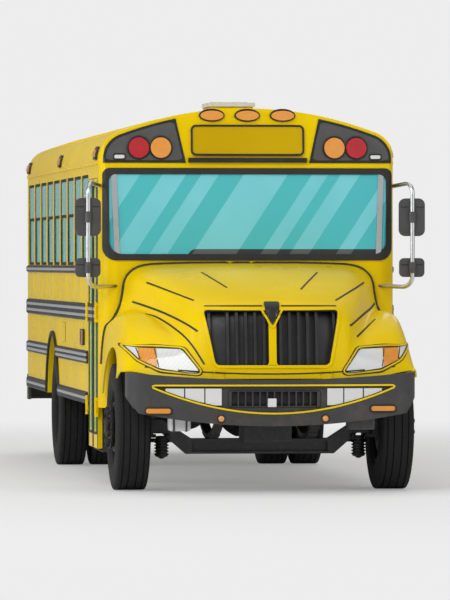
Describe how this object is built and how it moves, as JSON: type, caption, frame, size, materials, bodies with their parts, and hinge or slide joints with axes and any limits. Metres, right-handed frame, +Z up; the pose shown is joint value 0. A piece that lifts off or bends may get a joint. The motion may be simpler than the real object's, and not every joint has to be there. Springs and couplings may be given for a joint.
{
  "type": "school bus",
  "caption": "Conventional school bus with a tilting hood, folding entrance door, emergency door, roof hatch, stop arm, steered front wheels and twin rear wheels.",
  "frame": {"origin": "on the ground under the middle of the bus's length and width", "axes": "+X to the bus's left side, +Y to its rear, +Z up"},
  "size_m": [2.882, 9.8, 3.201],
  "materials": {
    "yellow_paint": "gloss",
    "black_paint": "satin",
    "bumper_paint": "satin",
    "chassis_paint": "matt",
    "engine_iron": "rough",
    "spring_steel": "dull",
    "exhaust_steel": "dull",
    "tank_paint": "satin",
    "floor_rubber": "ribbed",
    "seal_rubber": "matt",
    "tinted_glass": "tinted",
    "window_aluminium": "satin",
    "trim_steel": "satin",
    "grille_plastic": "matt",
    "lamp_clear": "clear",
    "lamp_amber": "clear",
    "lamp_red": "clear",
    "tyre_rubber": "matt",
    "rim_paint": "satin",
    "cast_steering": "rough",
    "mirror_plastic": "satin",
    "tube_aluminium": "satin",
    "sign_paint": "gloss",
    "stop_red": "gloss",
    "seat_vinyl": "satin",
    "dash_plastic": "matt",
    "hatch_plastic": "satin"
  },
  "bodies": {
    "chassis_body": {"frame_rails": "chassis_paint", "axles": "chassis_paint", "leaf_springs": "spring_steel", "driveline": "engine_iron", "fuel_tank": "tank_paint", "exhaust": "exhaust_steel", "floor": "floor_rubber", "wheelhouses": "floor_rubber", "entry_steps": "floor_rubber", "left_wall": "yellow_paint", "right_wall": "yellow_paint", "roof": "yellow_paint", "front_wall": "yellow_paint", "rear_wall": "yellow_paint", "rub_rails": "black_paint", "windshield": "tinted_glass", "windshield_seal": "seal_rubber", "windshield_pillars": "trim_steel", "window_frames": "window_aluminium", "side_glass": "tinted_glass", "front_bumper": "bumper_paint", "rear_bumper": "bumper_paint", "tow_eyes": "chassis_paint", "lamp_panels": "black_paint", "red_lamps": "lamp_red", "amber_lamps": "lamp_amber", "clear_lamps": "lamp_clear", "sign_panels": "sign_paint", "sign_shade": "black_paint", "mirror_arms": "tube_aluminium", "mirror_heads": "mirror_plastic", "seats": "seat_vinyl", "dashboard": "dash_plastic"},
    "hood_body": {"hood": "yellow_paint", "grille": "grille_plastic", "headlamps": "lamp_clear", "hood_turn_lamps": "lamp_amber"},
    "knuckle_left": {"knuckle_left": "cast_steering"},
    "knuckle_right": {"knuckle_right": "cast_steering"},
    "tie_rod": {"tie_rod": "cast_steering"},
    "front_wheel_left": {"front_tyre_left": "tyre_rubber", "front_rim_left": "rim_paint"},
    "front_wheel_right": {"front_tyre_right": "tyre_rubber", "front_rim_right": "rim_paint"},
    "rear_wheels_left": {"rear_tyres_left": "tyre_rubber", "rear_rims_left": "rim_paint"},
    "rear_wheels_right": {"rear_tyres_right": "tyre_rubber", "rear_rims_right": "rim_paint"},
    "door_front": {"door_front_leaf": "yellow_paint", "door_front_glass": "tinted_glass"},
    "door_rear": {"door_rear_leaf": "yellow_paint", "door_rear_glass": "tinted_glass"},
    "rear_door": {"rear_door": "yellow_paint", "rear_door_glass": "tinted_glass"},
    "roof_hatch": {"roof_hatch": "hatch_plastic"},
    "stop_arm": {"stop_arm": "stop_red"}
  },
  "joints": [
    {"name": "steer_left", "type": "hinge", "parent": "chassis_body", "child": "knuckle_left", "pos_m": [0.88, -3.86, 0.51], "axis": [0, 0, 1], "range_deg": [-35, 35]},
    {"name": "steer_right", "type": "hinge", "parent": "chassis_body", "child": "knuckle_right", "pos_m": [-0.88, -3.86, 0.51], "axis": [0, 0, 1], "range_deg": [-35, 35]},
    {"name": "tie_rod_turn", "type": "hinge", "parent": "knuckle_left", "child": "tie_rod", "pos_m": [0.88, -3.64, 0.392], "axis": [0, 0, 1], "range_deg": [-35, 35]},
    {"name": "spin_front_left", "type": "hinge", "parent": "knuckle_left", "child": "front_wheel_left", "pos_m": [1.06, -3.86, 0.51], "axis": [1, 0, 0], "continuous": true},
    {"name": "spin_front_right", "type": "hinge", "parent": "knuckle_right", "child": "front_wheel_right", "pos_m": [-1.06, -3.86, 0.51], "axis": [1, 0, 0], "continuous": true},
    {"name": "spin_rear_left", "type": "hinge", "parent": "chassis_body", "child": "rear_wheels_left", "pos_m": [0.92, 1.64, 0.51], "axis": [1, 0, 0], "continuous": true},
    {"name": "spin_rear_right", "type": "hinge", "parent": "chassis_body", "child": "rear_wheels_right", "pos_m": [-0.92, 1.64, 0.51], "axis": [1, 0, 0], "continuous": true},
    {"name": "hood_tilt", "type": "hinge", "parent": "chassis_body", "child": "hood_body", "pos_m": [0, -4.795, 0.885], "axis": [1, 0, 0], "range_deg": [0, 65]},
    {"name": "door_front_swing", "type": "hinge", "parent": "chassis_body", "child": "door_front", "pos_m": [-1.235, -2.87, 1.4], "axis": [0, 0, 1], "range_deg": [0, 90]},
    {"name": "door_rear_swing", "type": "hinge", "parent": "chassis_body", "child": "door_rear", "pos_m": [-1.235, -2.03, 1.4], "axis": [0, 0, 1], "range_deg": [-90, 0]},
    {"name": "rear_door_swing", "type": "hinge", "parent": "chassis_body", "child": "rear_door", "pos_m": [-0.45, 4.816, 1.8], "axis": [0, 0, 1], "range_deg": [0, 110]},
    {"name": "roof_hatch_lift", "type": "hinge", "parent": "chassis_body", "child": "roof_hatch", "pos_m": [0, -1.416, 3.192], "axis": [-1, 0, 0], "range_deg": [0, 80]},
    {"name": "stop_arm_swing", "type": "hinge", "parent": "chassis_body", "child": "stop_arm", "pos_m": [1.255, -2.25, 1.615], "axis": [0, 0, 1], "range_deg": [-90, 0]}
  ],
  "couplings": [
    {"joint": "steer_right", "follows": "steer_left", "ratio": 1},
    {"joint": "tie_rod_turn", "follows": "steer_left", "ratio": -1},
    {"joint": "door_rear_swing", "follows": "door_front_swing", "ratio": -1}
  ]
}
